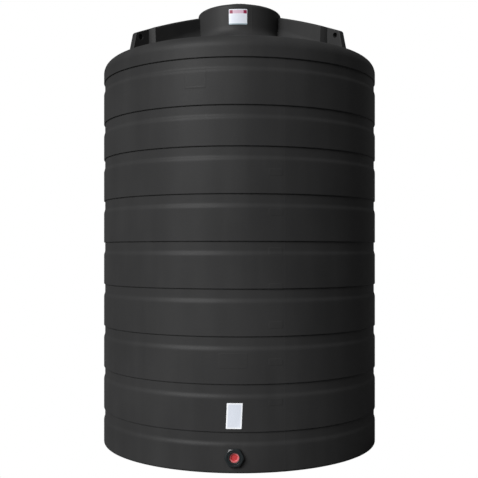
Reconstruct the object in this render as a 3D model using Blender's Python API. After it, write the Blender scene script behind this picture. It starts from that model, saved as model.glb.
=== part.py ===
# Vertical storage tank: a rotomoulded polyethylene water tank with a banded wall,
# a coned roof with four lifting ribs, a manway turret on top and a bulkhead outlet low on the front.
# Metres, +Z up. The origin is the centre of the tank's underside, and the outlet faces -Y.

import math

import bmesh
import bpy
from mathutils import Matrix

# Clearance kept between neighbouring solids
GAP = 0.0003

# Shell
TANK_RADIUS = 1.295
SHELL = 0.010
SIDES = 48
SIDE_ANGLE = 2 * math.pi / SIDES
BASE_CORNER_RADIUS = 0.030
FLOOR_RADIUS = 1.262
FLOOR_THICKNESS = 0.012
FRONT_PANEL_MARGIN = 0.010

# Bands of the wall, counted from the bottom
LOWEST_GROOVE = 0.336
BAND_PITCH = 0.3872
SHORT_BAND_PITCH = 0.335
FULL_PITCH_BANDS = 6
GROOVE_DEPTH = 0.0105
GROOVE_FLOOR = 0.082
GROOVE_RAMP = 0.020

# Shoulder and roof
SHOULDER_START = 0.084
SHOULDER_RADIUS = 0.115
ROOF_SLOPE = math.radians(15)
SHOULDER_STEPS = 4

# Manway turret
NECK_FOOT_RADIUS = 0.480
NECK_RADIUS = 0.397
NECK_FOOT_HEIGHT = 0.114
CROWN_TOP = 4.110
CROWN_DROP = 0.055
CROWN_REACH = 0.180
CROWN_STEPS = 4
MANHOLE_RADIUS = 0.200
COLLAR_WALL = 0.010
COLLAR_BOTTOM = 4.080
COLLAR_TOP = 4.128
LID_RADIUS = 0.216
LID_RIM_TOP = 4.137
LID_CENTRE_TOP = 4.144
VENT_STEM_RADIUS = 0.016
VENT_CAP_RADIUS = 0.036
VENT_TOP = 4.180
VENT_SIDES = 24

# Lifting ribs, mirrored to the left and right and to the front and back. Each runs at 45 degrees
# from the turret's side, and distances along it are counted from its eye, outwards.
RIB_SIDES = {"front_left": (-1, -1), "front_right": (1, -1), "back_left": (-1, 1), "back_right": (1, 1)}
RIB_INNER_END = -0.840
RIB_FULL_END = -0.112
RIB_END = -0.089
RIB_TOP_AT_EYE = 3.796
RIB_TOP_SLOPE = 0.407
RIB_TOP_SAG = 0.080
RIB_HALF_WIDTH_FOOT = 0.102
RIB_HALF_WIDTH_TOP = 0.092
RIB_STATIONS = 5
RIB_SINK = 0.050
LUG_END_FOOT = 0.092
LUG_END_TOP = 0.050
LUG_HALF_WIDTH = 0.030
LUG_CORNER = 0.022
EYE_X = 0.895
EYE_Y = 0.530
EYE_HEIGHT = 3.742
EYE_RADIUS = 0.024
EYE_SIDES = 20

# Outlet fitting, a bulkhead fitting of the 3 inch size, on the flat front facet
OUTLET_HEIGHT = 0.134
BARREL_RADIUS = 0.055
BARREL_BORE = 0.041
BARREL_SIDES = 32
NUT_CORNER_RADIUS = 0.083
NUT_THICKNESS = 0.030
NUT_CHAMFER = 0.005
GASKET_RADIUS = 0.071
GASKET_THICKNESS = 0.005
INNER_HEAD_RADIUS = 0.076
INNER_HEAD_THICKNESS = 0.020
PLUG_DEPTH = 0.018
PLUG_THICKNESS = 0.022
PLUG_RIM = 0.012
PLUG_DISH = 0.007

# Label on the turret and sheet on the wall
LABEL_WIDTH = 0.176
LABEL_HEIGHT = 0.150
LABEL_CENTRE = 3.965
LABEL_THICKNESS = 0.0015
LABEL_STEPS = 8
SHEET_WIDTH = 0.131
SHEET_HEIGHT = 0.213
SHEET_CENTRE = 0.469
SHEET_THICKNESS = 0.002

# Sizes worked out from the ones above
ROOF_RISE = math.tan(ROOF_SLOPE)
FRONT_FACE = TANK_RADIUS * math.cos(SIDE_ANGLE / 2)
INNER_FRONT_FACE = (TANK_RADIUS - SHELL) * math.cos(SIDE_ANGLE / 2)
SHOULDER_CENTRE = TANK_RADIUS - SHOULDER_RADIUS
ROOF_EDGE_RADIUS = SHOULDER_CENTRE + SHOULDER_RADIUS * math.sin(ROOF_SLOPE)
ROOF_THICKNESS = SHELL / math.cos(ROOF_SLOPE)
NUT_BACK = FRONT_FACE + GASKET_THICKNESS + 2 * GAP
NUT_FRONT = NUT_BACK + NUT_THICKNESS
HEAD_FRONT = INNER_FRONT_FACE - GAP


def clear_scene():
    """Remove every object that the file opened with."""
    for old in list(bpy.data.objects):
        bpy.data.objects.remove(old, do_unlink=True)


def plastic(name, colour, roughness, metallic=0.0):
    """A Principled material with one colour."""
    material = bpy.data.materials.new(name)
    material.use_nodes = True
    shader = material.node_tree.nodes["Principled BSDF"]
    shader.inputs["Base Color"].default_value = (*colour, 1)
    shader.inputs["Roughness"].default_value = roughness
    shader.inputs["Metallic"].default_value = metallic
    return material


def finish_mesh(name, bm, material):
    """Turn a bmesh into a named object with smooth round faces."""
    bmesh.ops.recalc_face_normals(bm, faces=bm.faces)
    mesh = bpy.data.meshes.new(name)
    bm.to_mesh(mesh)
    bm.free()
    mesh.shade_smooth()
    mesh.set_sharp_from_angle(angle=math.radians(30))
    mesh.materials.append(material)
    item = bpy.data.objects.new(name, mesh)
    bpy.context.scene.collection.objects.link(item)
    return item


def turned_bmesh(outline, sides, closed):
    """Spin an outline of (radius, height) points about Z, with a facet centred on -Y."""
    bm = bmesh.new()
    points = [bm.verts.new((radius, 0, height)) for radius, height in outline]
    pairs = list(zip(points, points[1:]))
    if closed:
        pairs.append((points[-1], points[0]))
    edges = [bm.edges.new(pair) for pair in pairs]
    bmesh.ops.spin(
        bm, geom=points + edges, cent=(0, 0, 0), axis=(0, 0, 1), angle=2 * math.pi, steps=sides
    )
    bmesh.ops.remove_doubles(bm, verts=bm.verts, dist=0.00002)
    half_side = Matrix.Rotation(math.pi / sides, 4, "Z")
    bmesh.ops.transform(bm, matrix=half_side, verts=bm.verts)
    return bm


def turned(name, outline, material, sides=SIDES, closed=True):
    """A turned piece about the tank's axis."""
    return finish_mesh(name, turned_bmesh(outline, sides, closed), material)


def turned_at_outlet(name, outline, material, sides, closed=True):
    """A turned piece about the outlet's axis: a height of h in the outline lies at y = -h."""
    bm = turned_bmesh(outline, sides, closed)
    lay_down = Matrix.Translation((0, 0, OUTLET_HEIGHT)) @ Matrix.Rotation(math.pi / 2, 4, "X")
    bmesh.ops.transform(bm, matrix=lay_down, verts=bm.verts)
    return finish_mesh(name, bm, material)


def hide_cutter(item):
    """Keep a cutting shape out of the model."""
    item.hide_render = True
    item.display_type = "WIRE"


def cut(item, cutter, keep_inside=False):
    """Cut one shape out of another, or keep only what lies inside the cutter."""
    modifier = item.modifiers.new("cut_by_" + cutter.name, "BOOLEAN")
    modifier.operation = "INTERSECT" if keep_inside else "DIFFERENCE"
    modifier.solver = "EXACT"
    modifier.object = cutter


def arc_points(centre, radius, start, end, steps):
    """Points on an arc in the plane of radius and height, with angles in radians."""
    angles = [start + (end - start) * step / steps for step in range(steps + 1)]
    return [
        (centre[0] + radius * math.cos(angle), centre[1] + radius * math.sin(angle))
        for angle in angles
    ]


def groove_heights():
    """Heights of the lower edges of the bands above the bottom one."""
    heights = [LOWEST_GROOVE + BAND_PITCH * band for band in range(FULL_PITCH_BANDS + 1)]
    heights.append(heights[-1] + SHORT_BAND_PITCH)
    heights.append(heights[-1] + BAND_PITCH)
    return heights


GROOVES = groove_heights()
ROOF_EDGE_HEIGHT = GROOVES[-1] + SHOULDER_START + SHOULDER_RADIUS * math.cos(ROOF_SLOPE)


def roof_height(radius):
    """Height of the roof's outer face at a distance from the axis."""
    return ROOF_EDGE_HEIGHT + (ROOF_EDGE_RADIUS - radius) * ROOF_RISE


def band_top_outline(top):
    """The groove under the next band: ramp in, groove floor, and the wall's inner face back down."""
    ramp_foot = top - GROOVE_FLOOR - GROOVE_RAMP
    outside = TANK_RADIUS
    floor = TANK_RADIUS - GROOVE_DEPTH
    return [
        (floor - SHELL, ramp_foot + SHELL),
        (floor - SHELL, top - GAP),
        (floor, top - GAP),
        (floor, ramp_foot + GROOVE_RAMP),
        (outside - 0.3 * GROOVE_DEPTH, ramp_foot + 0.4 * GROOVE_RAMP),
        (outside, ramp_foot),
    ]


def foot_outline(bottom):
    """The lower edge of a band, turned in to stand on the groove below it."""
    outside = TANK_RADIUS
    inner_edge = outside - GROOVE_DEPTH - SHELL
    return [
        (outside, bottom),
        (inner_edge, bottom),
        (inner_edge, bottom + SHELL),
        (outside - SHELL, bottom + SHELL),
    ]


def facet_wedge(name, clearance, black):
    """A wedge from the tank's axis over the front facet of the lowest band and a little more."""
    reach = TANK_RADIUS + 0.1
    half_width = reach * math.tan(SIDE_ANGLE / 2) + FRONT_PANEL_MARGIN - clearance
    bm = bmesh.new()
    rings = []
    for height in (-0.1, LOWEST_GROOVE + 0.1):
        corners = [(-half_width, -reach), (half_width, -reach), (0, 0)]
        rings.append([bm.verts.new((x, y, height)) for x, y in corners])
    bm.faces.new(rings[0])
    bm.faces.new(rings[1])
    for side in range(3):
        after = (side + 1) % 3
        bm.faces.new((rings[0][side], rings[0][after], rings[1][after], rings[1][side]))
    wedge = finish_mesh(name, bm, black)
    hide_cutter(wedge)
    return wedge


def make_wall_bands(black):
    """The nine grooved bands of the wall. The lowest one's front facet, round the outlet, is a piece of its own."""
    corner = (TANK_RADIUS - BASE_CORNER_RADIUS, BASE_CORNER_RADIUS)
    inner_corner_radius = BASE_CORNER_RADIUS - SHELL
    base = [(FLOOR_RADIUS, FLOOR_THICKNESS), (FLOOR_RADIUS, 0)]
    outer_corner = arc_points(corner, BASE_CORNER_RADIUS, 0, -math.pi / 2, 3)
    inner_corner = [
        (corner[0], FLOOR_THICKNESS),
        (corner[0] + inner_corner_radius, BASE_CORNER_RADIUS),
    ]
    inner_ramp_foot = (TANK_RADIUS - SHELL, GROOVES[0] - GROOVE_FLOOR - GROOVE_RAMP)
    outline = band_top_outline(GROOVES[0]) + outer_corner + base[::-1] + inner_corner
    ring = turned("wall_band_1", outline + [inner_ramp_foot], black)
    panel = turned("wall_band_1_front", outline + [inner_ramp_foot], black)
    cut(ring, facet_wedge("front_gap_cutter", 0, black))
    cut(panel, facet_wedge("panel_cutter", GAP, black), keep_inside=True)
    for number, (bottom, top) in enumerate(zip(GROOVES, GROOVES[1:]), start=2):
        inner_ramp_foot = (TANK_RADIUS - SHELL, top - GROOVE_FLOOR - GROOVE_RAMP)
        outline = band_top_outline(top) + foot_outline(bottom) + [inner_ramp_foot]
        turned(f"wall_band_{number}", outline, black)
    hole = turned_at_outlet(
        "outlet_hole_cutter",
        [
            (0, NUT_FRONT),
            (BARREL_RADIUS + GAP, NUT_FRONT),
            (BARREL_RADIUS + GAP, INNER_FRONT_FACE - INNER_HEAD_THICKNESS),
            (0, INNER_FRONT_FACE - INNER_HEAD_THICKNESS),
        ],
        black,
        BARREL_SIDES,
        closed=False,
    )
    hide_cutter(hole)
    cut(panel, hole)


def make_floor(black):
    """The flat floor inside the lowest band."""
    outline = [
        (0, FLOOR_THICKNESS),
        (FLOOR_RADIUS - GAP, FLOOR_THICKNESS),
        (FLOOR_RADIUS - GAP, 0),
        (0, 0),
    ]
    turned("tank_floor", outline, black, closed=False)


def make_cap_band(black):
    """The top band, which rounds over into the roof."""
    bottom = GROOVES[-1]
    centre = (SHOULDER_CENTRE, bottom + SHOULDER_START)
    sweep = math.pi / 2 - ROOF_SLOPE
    outer = arc_points(centre, SHOULDER_RADIUS, sweep, 0, SHOULDER_STEPS)
    inner = arc_points(centre, SHOULDER_RADIUS - SHELL, 0, sweep, SHOULDER_STEPS)[:-1]
    inner.append((ROOF_EDGE_RADIUS, ROOF_EDGE_HEIGHT - ROOF_THICKNESS))
    turned("cap_band", outer + foot_outline(bottom) + inner, black)


def make_roof(black):
    """The coned roof between the cap band and the turret."""
    edge = ROOF_EDGE_RADIUS - GAP
    middle = (ROOF_EDGE_RADIUS + NECK_FOOT_RADIUS) / 2
    outer = [(radius, roof_height(radius)) for radius in (NECK_FOOT_RADIUS, middle, edge)]
    inner = [(radius, height - ROOF_THICKNESS) for radius, height in outer[::-1]]
    turned("roof_cone", outer + inner, black)


def neck_side():
    """The turret's outer side from its flared foot up to the crown."""
    foot = roof_height(NECK_FOOT_RADIUS)
    flare = NECK_FOOT_RADIUS - NECK_RADIUS
    return [
        (NECK_RADIUS, CROWN_TOP - CROWN_DROP - GAP),
        (NECK_RADIUS, foot + NECK_FOOT_HEIGHT),
        (NECK_RADIUS + 0.10 * flare, foot + 0.60 * NECK_FOOT_HEIGHT),
        (NECK_RADIUS + 0.38 * flare, foot + 0.25 * NECK_FOOT_HEIGHT),
        (NECK_FOOT_RADIUS - GAP, foot),
    ]


def crown_curve(shrink, steps):
    """The quarter ellipse over the turret's edge, offset inwards by shrink."""
    reach = CROWN_REACH - shrink
    drop = CROWN_DROP - shrink
    centre = (NECK_RADIUS - CROWN_REACH, CROWN_TOP - CROWN_DROP)
    angles = [math.pi / 2 * step / steps for step in range(steps + 1)]
    return [
        (centre[0] + reach * math.cos(angle), centre[1] + drop * math.sin(angle))
        for angle in angles
    ]


def make_turret(black):
    """The manway turret: neck, crown, collar, and the lid with its skirt and vent."""
    side = neck_side()
    inner_side = [(radius - SHELL, height) for radius, height in side[:-1]]
    inner_side.append((side[-1][0], side[-1][1] - ROOF_THICKNESS))
    turned("manway_neck", side + inner_side[::-1], black)

    outer = crown_curve(0, CROWN_STEPS)
    inner = crown_curve(SHELL, CROWN_STEPS)
    mouth = [(MANHOLE_RADIUS, CROWN_TOP), (MANHOLE_RADIUS, CROWN_TOP - SHELL)]
    turned("manway_crown", mouth[:1] + outer[::-1] + inner + mouth[1:], black)

    collar = MANHOLE_RADIUS - GAP
    outline = [
        (collar - COLLAR_WALL, COLLAR_TOP),
        (collar, COLLAR_TOP),
        (collar, COLLAR_BOTTOM),
        (collar - COLLAR_WALL, COLLAR_BOTTOM),
    ]
    turned("manway_collar", outline, black)

    lid = [
        (0, LID_CENTRE_TOP),
        (LID_RADIUS - 0.026, LID_RIM_TOP + 0.003),
        (LID_RADIUS - 0.006, LID_RIM_TOP),
        (LID_RADIUS, LID_RIM_TOP - 0.006),
        (LID_RADIUS, COLLAR_TOP + GAP),
        (0, COLLAR_TOP + GAP),
    ]
    turned("manway_lid", lid, black, closed=False)

    skirt = [
        (MANHOLE_RADIUS + GAP, COLLAR_TOP),
        (LID_RADIUS, COLLAR_TOP),
        (LID_RADIUS, CROWN_TOP + GAP),
        (MANHOLE_RADIUS + GAP, CROWN_TOP + GAP),
    ]
    turned("lid_skirt", skirt, black)

    vent_foot = LID_CENTRE_TOP + GAP
    brim = VENT_TOP - 0.020
    vent = [
        (0, VENT_TOP),
        (0.7 * VENT_CAP_RADIUS, VENT_TOP - 0.003),
        (VENT_CAP_RADIUS, VENT_TOP - 0.012),
        (VENT_CAP_RADIUS, brim),
        (VENT_STEM_RADIUS, brim),
        (VENT_STEM_RADIUS, vent_foot),
        (0, vent_foot),
    ]
    turned("lid_vent", vent, black, sides=VENT_SIDES, closed=False)


def rib_top(along):
    """Height of a rib's top edge, which bends down slightly towards its outer end."""
    return RIB_TOP_AT_EYE - RIB_TOP_SLOPE * along - RIB_TOP_SAG * along * along


def rib_foot(along):
    """Height of a rib's underside, sunk below the roof before the roof's shape is cut from it."""
    diagonal = math.sqrt(0.5)
    radius = math.hypot(EYE_X + diagonal * along, EYE_Y + diagonal * along)
    return roof_height(radius) - RIB_SINK


def rib_bmesh(sections):
    """A beam along +X through sections of (foot place, top place, foot half, top half, top height)."""
    bm = bmesh.new()
    rings = []
    for foot_place, top_place, foot_half, top_half, top in sections:
        foot = rib_foot(foot_place)
        corners = [
            (foot_place, -foot_half, foot),
            (foot_place, foot_half, foot),
            (top_place, top_half, top),
            (top_place, -top_half, top),
        ]
        rings.append([bm.verts.new(corner) for corner in corners])
    bm.faces.new(rings[0])
    bm.faces.new(rings[-1])
    for ring, following in zip(rings, rings[1:]):
        for side in range(4):
            after = (side + 1) % 4
            bm.faces.new((ring[side], ring[after], following[after], following[side]))
    return bm


def roof_envelope(black):
    """The roof and turret with a clearance all over, for cutting the ribs' undersides."""
    lift = GAP / math.cos(ROOF_SLOPE)
    outer_radius = ROOF_EDGE_RADIUS
    side = [(radius + GAP, height + lift) for radius, height in neck_side()]
    outline = [
        (0, CROWN_TOP),
        (NECK_RADIUS + GAP, CROWN_TOP),
        *side[1:],
        (outer_radius, roof_height(outer_radius) + lift),
        (outer_radius, ROOF_EDGE_HEIGHT - 2 * RIB_SINK),
        (0, ROOF_EDGE_HEIGHT - 2 * RIB_SINK),
    ]
    envelope = turned("roof_envelope_cutter", outline, black, closed=False)
    hide_cutter(envelope)
    return envelope


def half_cutter(name, side, black):
    """A block over one half of the tank, where the ribs of the other half end."""
    depth = 0.5
    bm = bmesh.new()
    bmesh.ops.create_cube(bm, size=1)
    bmesh.ops.scale(bm, vec=(2 * TANK_RADIUS, depth, depth), verts=bm.verts)
    block = finish_mesh(name, bm, black)
    block.location = (0, side * (depth - GAP) / 2, RIB_TOP_AT_EYE + depth / 4)
    hide_cutter(block)
    return block


def eye_cutter(name, black):
    """A level rod through the lug's eye."""
    bm = bmesh.new()
    bmesh.ops.create_cone(
        bm,
        cap_ends=True,
        segments=EYE_SIDES,
        radius1=EYE_RADIUS,
        radius2=EYE_RADIUS,
        depth=4 * LUG_HALF_WIDTH,
        matrix=Matrix.Translation((0, 0, EYE_HEIGHT)) @ Matrix.Rotation(math.pi / 2, 4, "X"),
    )
    rod = finish_mesh(name, bm, black)
    hide_cutter(rod)
    return rod


def make_ribs(black):
    """Four lifting ribs, each a thick beam that narrows to a lug with an eye."""
    envelope = roof_envelope(black)
    halves = {1: half_cutter("back_half_cutter", 1, black), -1: half_cutter("front_half_cutter", -1, black)}
    step = (RIB_FULL_END - RIB_INNER_END) / RIB_STATIONS
    places = [RIB_INNER_END + step * station for station in range(RIB_STATIONS + 1)]
    foot_half = RIB_HALF_WIDTH_FOOT
    top_half = RIB_HALF_WIDTH_TOP
    beam = [(place, place, foot_half, top_half, rib_top(place)) for place in places]
    beam.append((RIB_END - GAP, RIB_END - GAP, LUG_HALF_WIDTH, LUG_HALF_WIDTH, rib_top(RIB_END)))
    half = LUG_HALF_WIDTH
    middle = (RIB_END + LUG_END_TOP) / 2
    corner = LUG_END_TOP - LUG_CORNER
    lug = [
        (RIB_END, RIB_END, half, half, rib_top(RIB_END)),
        (middle, middle, half, half, rib_top(middle)),
        (corner, corner, half, half, rib_top(corner)),
        (LUG_END_FOOT, LUG_END_TOP, half, half, rib_top(LUG_END_TOP) - 0.3 * LUG_CORNER),
    ]
    for place, (side_x, side_y) in RIB_SIDES.items():
        rib = finish_mesh(f"lifting_rib_{place}", rib_bmesh(beam), black)
        ear = finish_mesh(f"lifting_lug_{place}", rib_bmesh(lug), black)
        eye = eye_cutter(f"eye_cutter_{place}", black)
        cut(rib, envelope)
        cut(rib, halves[-side_y])
        cut(ear, envelope)
        cut(ear, eye)
        for item in (rib, ear, eye):
            item.location = (side_x * EYE_X, side_y * EYE_Y, 0)
            item.rotation_euler.z = math.atan2(side_y, side_x)


def make_outlet(gloss_black, rubber, red):
    """The bulkhead fitting through the lowest band: nut, gasket, barrel, inner head and plug."""
    bore = BARREL_BORE
    shaft = BARREL_RADIUS
    clear_shaft = BARREL_RADIUS + GAP

    gasket = [
        (clear_shaft, FRONT_FACE + GAP + GASKET_THICKNESS),
        (GASKET_RADIUS, FRONT_FACE + GAP + GASKET_THICKNESS),
        (GASKET_RADIUS, FRONT_FACE + GAP),
        (clear_shaft, FRONT_FACE + GAP),
    ]
    turned_at_outlet("outlet_gasket", gasket, rubber, BARREL_SIDES)

    head_back = HEAD_FRONT - INNER_HEAD_THICKNESS
    barrel = [
        (bore, NUT_FRONT - 0.004),
        (shaft - 0.002, NUT_FRONT - 0.004),
        (shaft, NUT_FRONT - 0.006),
        (shaft, head_back),
        (bore, head_back),
    ]
    turned_at_outlet("outlet_barrel", barrel, gloss_black, BARREL_SIDES)

    inner_head = [
        (clear_shaft, HEAD_FRONT),
        (INNER_HEAD_RADIUS, HEAD_FRONT),
        (INNER_HEAD_RADIUS, head_back + 0.003),
        (INNER_HEAD_RADIUS - 0.003, head_back),
        (clear_shaft, head_back),
    ]
    turned_at_outlet("outlet_inner_head", inner_head, gloss_black, BARREL_SIDES)

    make_nut(gloss_black)

    plug_front = NUT_FRONT - PLUG_DEPTH
    plug_back = plug_front - PLUG_THICKNESS
    plug = [
        (0, plug_front - PLUG_DISH),
        (bore - PLUG_RIM - 0.002, plug_front - PLUG_DISH),
        (bore - PLUG_RIM, plug_front),
        (bore - 0.002, plug_front),
        (bore - GAP, plug_front - 0.002),
        (bore - GAP, plug_back),
        (0, plug_back),
    ]
    turned_at_outlet("outlet_plug", plug, red, BARREL_SIDES, closed=False)


def make_nut(gloss_black):
    """A six-sided nut with corners to the left and right and a chamfered front edge."""
    outline = [
        (0, NUT_FRONT),
        (NUT_CORNER_RADIUS - NUT_CHAMFER, NUT_FRONT),
        (NUT_CORNER_RADIUS, NUT_FRONT - NUT_CHAMFER),
        (NUT_CORNER_RADIUS, NUT_BACK),
        (0, NUT_BACK),
    ]
    bm = turned_bmesh(outline, 6, False)
    upright = Matrix.Rotation(math.pi / 6, 4, "Z")
    lay_down = Matrix.Translation((0, 0, OUTLET_HEIGHT)) @ Matrix.Rotation(math.pi / 2, 4, "X")
    bmesh.ops.transform(bm, matrix=lay_down @ upright, verts=bm.verts)
    nut = finish_mesh("outlet_nut", bm, gloss_black)
    clear_shaft = BARREL_RADIUS + GAP
    hole_outline = [
        (0, NUT_FRONT + NUT_CHAMFER),
        (clear_shaft, NUT_FRONT + NUT_CHAMFER),
        (clear_shaft, NUT_BACK - NUT_CHAMFER),
        (0, NUT_BACK - NUT_CHAMFER),
    ]
    hole = turned_at_outlet("nut_hole_cutter", hole_outline, gloss_black, BARREL_SIDES, closed=False)
    hide_cutter(hole)
    cut(nut, hole)


def make_label(white):
    """The thin curved label on the front of the turret."""
    inner = NECK_RADIUS + GAP
    outer = inner + LABEL_THICKNESS
    half = LABEL_WIDTH / (2 * NECK_RADIUS)
    low = LABEL_CENTRE - LABEL_HEIGHT / 2
    high = LABEL_CENTRE + LABEL_HEIGHT / 2
    bm = bmesh.new()
    rings = []
    for step in range(LABEL_STEPS + 1):
        angle = -math.pi / 2 - half + 2 * half * step / LABEL_STEPS
        corners = [(inner, low), (outer, low), (outer, high), (inner, high)]
        ring = [(radius * math.cos(angle), radius * math.sin(angle), z) for radius, z in corners]
        rings.append([bm.verts.new(corner) for corner in ring])
    bm.faces.new(rings[0])
    bm.faces.new(rings[-1])
    for ring, following in zip(rings, rings[1:]):
        for side in range(4):
            after = (side + 1) % 4
            bm.faces.new((ring[side], ring[after], following[after], following[side]))
    finish_mesh("turret_label", bm, white)


def make_sheet(white):
    """The flat sheet fixed to the front of the second band."""
    bm = bmesh.new()
    bmesh.ops.create_cube(bm, size=1)
    bmesh.ops.scale(bm, vec=(SHEET_WIDTH, SHEET_THICKNESS, SHEET_HEIGHT), verts=bm.verts)
    sheet = finish_mesh("wall_sheet", bm, white)
    sheet.location = (0, -(FRONT_FACE + GAP + SHEET_THICKNESS / 2), SHEET_CENTRE)


def main():
    clear_scene()
    black = plastic("black_polyethylene", (0.030, 0.030, 0.030), 0.5)
    gloss_black = plastic("black_fitting", (0.012, 0.013, 0.014), 0.25)
    rubber = plastic("gasket_rubber", (0.020, 0.020, 0.020), 0.8)
    red = plastic("red_plug", (0.60, 0.08, 0.07), 0.45)
    white = plastic("white_film", (0.75, 0.78, 0.82), 0.4)
    make_floor(black)
    make_wall_bands(black)
    make_cap_band(black)
    make_roof(black)
    make_turret(black)
    make_ribs(black)
    make_outlet(gloss_black, rubber, red)
    make_label(white)
    make_sheet(white)


main()
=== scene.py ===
# %% [markdown]
# A vertical storage tank, dressed for its picture.
#
# The real object is one hollow moulding of black polyethylene, about 2.6 m wide and 4.2 m tall, with a
# screwed lid on top and a plugged outlet low on the front. The CAD frame gives every part its true
# place, with flat facets. This lesson puts smooth surfaces over the facets and a finish on every part.
# Lengths are metres, +Z is up, and the outlet faces -Y.

# %% Load the frame
import math

import bmesh
import bpy
import numpy as np
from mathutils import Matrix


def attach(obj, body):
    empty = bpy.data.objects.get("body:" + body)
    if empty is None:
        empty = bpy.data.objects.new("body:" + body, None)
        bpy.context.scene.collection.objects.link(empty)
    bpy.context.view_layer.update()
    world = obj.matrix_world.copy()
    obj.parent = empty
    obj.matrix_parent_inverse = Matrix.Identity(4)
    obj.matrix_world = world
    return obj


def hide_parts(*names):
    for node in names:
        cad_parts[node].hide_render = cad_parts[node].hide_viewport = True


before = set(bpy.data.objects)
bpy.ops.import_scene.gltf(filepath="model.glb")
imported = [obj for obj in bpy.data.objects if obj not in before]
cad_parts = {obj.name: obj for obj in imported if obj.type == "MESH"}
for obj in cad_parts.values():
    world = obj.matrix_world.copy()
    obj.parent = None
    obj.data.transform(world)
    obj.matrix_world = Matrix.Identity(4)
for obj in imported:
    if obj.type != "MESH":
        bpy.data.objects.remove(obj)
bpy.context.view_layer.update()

print("nodes in the frame:", len(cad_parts))

# %% [markdown]
# The camera comes first, because everything else is judged through it. The picture was taken from
# almost 8 m away at head height, looking level, and the tank stood turned by not quite 2 degrees. The
# tank stays where it is here, so the camera stands that much to the right instead. The horizon lies a
# little below the middle of the picture, which a small lens shift gives without tilting the camera.

# %% Place the camera
PICTURE = 478
FOCAL_PIXELS = 811
CAMERA_DISTANCE = 7.861
CAMERA_HEIGHT = 1.812
CAMERA_TURN = math.radians(1.86)
HORIZON_DROP = 11.2
AXIS_OFFSET = 0.5
SENSOR = 36.0

camera = bpy.data.objects.new("camera", bpy.data.cameras.new("camera"))
bpy.context.scene.collection.objects.link(camera)
camera.data.sensor_width = SENSOR
camera.data.lens = SENSOR * FOCAL_PIXELS / PICTURE
camera.data.shift_x = -AXIS_OFFSET / PICTURE
camera.data.shift_y = HORIZON_DROP / PICTURE
camera.location = (
    CAMERA_DISTANCE * math.sin(CAMERA_TURN),
    -CAMERA_DISTANCE * math.cos(CAMERA_TURN),
    CAMERA_HEIGHT,
)
camera.rotation_euler = (math.pi / 2, 0, CAMERA_TURN)
bpy.context.scene.camera = camera
print("lens in mm:", round(camera.data.lens, 2))

# %% [markdown]
# A finish is a tree of shader nodes. Two small helpers keep such trees readable. Signal wraps a socket
# and turns arithmetic into Math nodes, so that 1 - mask works as it reads. Finish holds one material and
# makes any other node from its type, its settings and the values or links of its sockets.

# %% Helpers for finishes
class Signal:
    """A node's output that can be added, subtracted and multiplied."""

    def __init__(self, finish, socket):
        self.finish = finish
        self.socket = socket

    def _math(self, operation, first, second):
        return self.finish.node("ShaderNodeMath", {"operation": operation}, {0: first, 1: second})

    def __add__(self, other):
        return self._math("ADD", self, other)

    def __radd__(self, other):
        return self._math("ADD", other, self)

    def __sub__(self, other):
        return self._math("SUBTRACT", self, other)

    def __rsub__(self, other):
        return self._math("SUBTRACT", other, self)

    def __mul__(self, other):
        return self._math("MULTIPLY", self, other)

    def __rmul__(self, other):
        return self._math("MULTIPLY", other, self)


class Finish:
    """One material. Its constants are set on the shader's own sockets."""

    def __init__(self, name, constants):
        self.material = bpy.data.materials.new(name)
        self.material.use_nodes = True
        self.tree = self.material.node_tree
        self.shader = self.tree.nodes["Principled BSDF"]
        for socket, value in constants.items():
            self.shader.inputs[socket].default_value = value

    def node(self, kind, settings=None, inputs=None, output=0):
        """Make a node: its settings come first, then each socket gets a value or a link."""
        made = self.tree.nodes.new(kind)
        for setting, value in (settings or {}).items():
            setattr(made, setting, value)
        for socket, value in (inputs or {}).items():
            if isinstance(value, Signal):
                self.tree.links.new(value.socket, made.inputs[socket])
            else:
                made.inputs[socket].default_value = value
        return Signal(self, made.outputs[output])

    def set(self, socket, signal):
        """Let a shader socket follow a signal."""
        self.tree.links.new(signal.socket, self.shader.inputs[socket])

    def place(self):
        """Each point's place on the tank, in metres."""
        return self.node("ShaderNodeTexCoord", output="Object")

    def noise(self, scale, detail=2.0, stretch=(1, 1, 1)):
        """Cloudy values from 0 to 1, stretched along an axis where its factor is small."""
        place = self.node("ShaderNodeMapping", {}, {"Vector": self.place(), "Scale": stretch})
        return self.node("ShaderNodeTexNoise", {}, {"Vector": place, "Scale": scale, "Detail": detail})

    def across_and_up(self):
        """The two directions of the piece's own UV map, from 0 to 1."""
        uv = self.node("ShaderNodeUVMap", {"uv_map": "UVMap"})
        return [self.node("ShaderNodeSeparateXYZ", {}, {0: uv}, axis) for axis in "XY"]

    def step(self, value, low, high):
        """A soft step: 0 below low, 1 above high."""
        limits = {"Value": value, "From Min": low, "From Max": high}
        return self.node("ShaderNodeMapRange", {"interpolation_type": "SMOOTHSTEP"}, limits)

    def mix(self, factor, first, second):
        """One colour turning into another."""
        return self.node("ShaderNodeMix", {"data_type": "RGBA"}, {0: factor, 6: first, 7: second}, 2)

    def bump(self, height, distance, strength, under=None):
        """Small relief of the given height in metres, on top of the relief under it."""
        inputs = {"Height": height, "Distance": distance, "Strength": strength}
        if under is not None:
            inputs["Normal"] = under
        return self.node("ShaderNodeBump", {}, inputs)


print("helpers for finishes are ready")

# %% [markdown]
# The shell is moulded from polyethylene powder in a hot turning mould. It comes out semi-matt, with a
# fine grain from the mould, a soft unevenness like orange peel, and faint streaks where the melt ran.
# All of it is slight, so the finish stays near black and the relief is a fraction of a millimetre.

# %% Polyethylene
POLYETHYLENE_DARK = (0.0250, 0.0250, 0.0253, 1)
POLYETHYLENE_LIGHT = (0.0310, 0.0310, 0.0312, 1)
POLYETHYLENE_ROUGHNESS = 0.44

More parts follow.
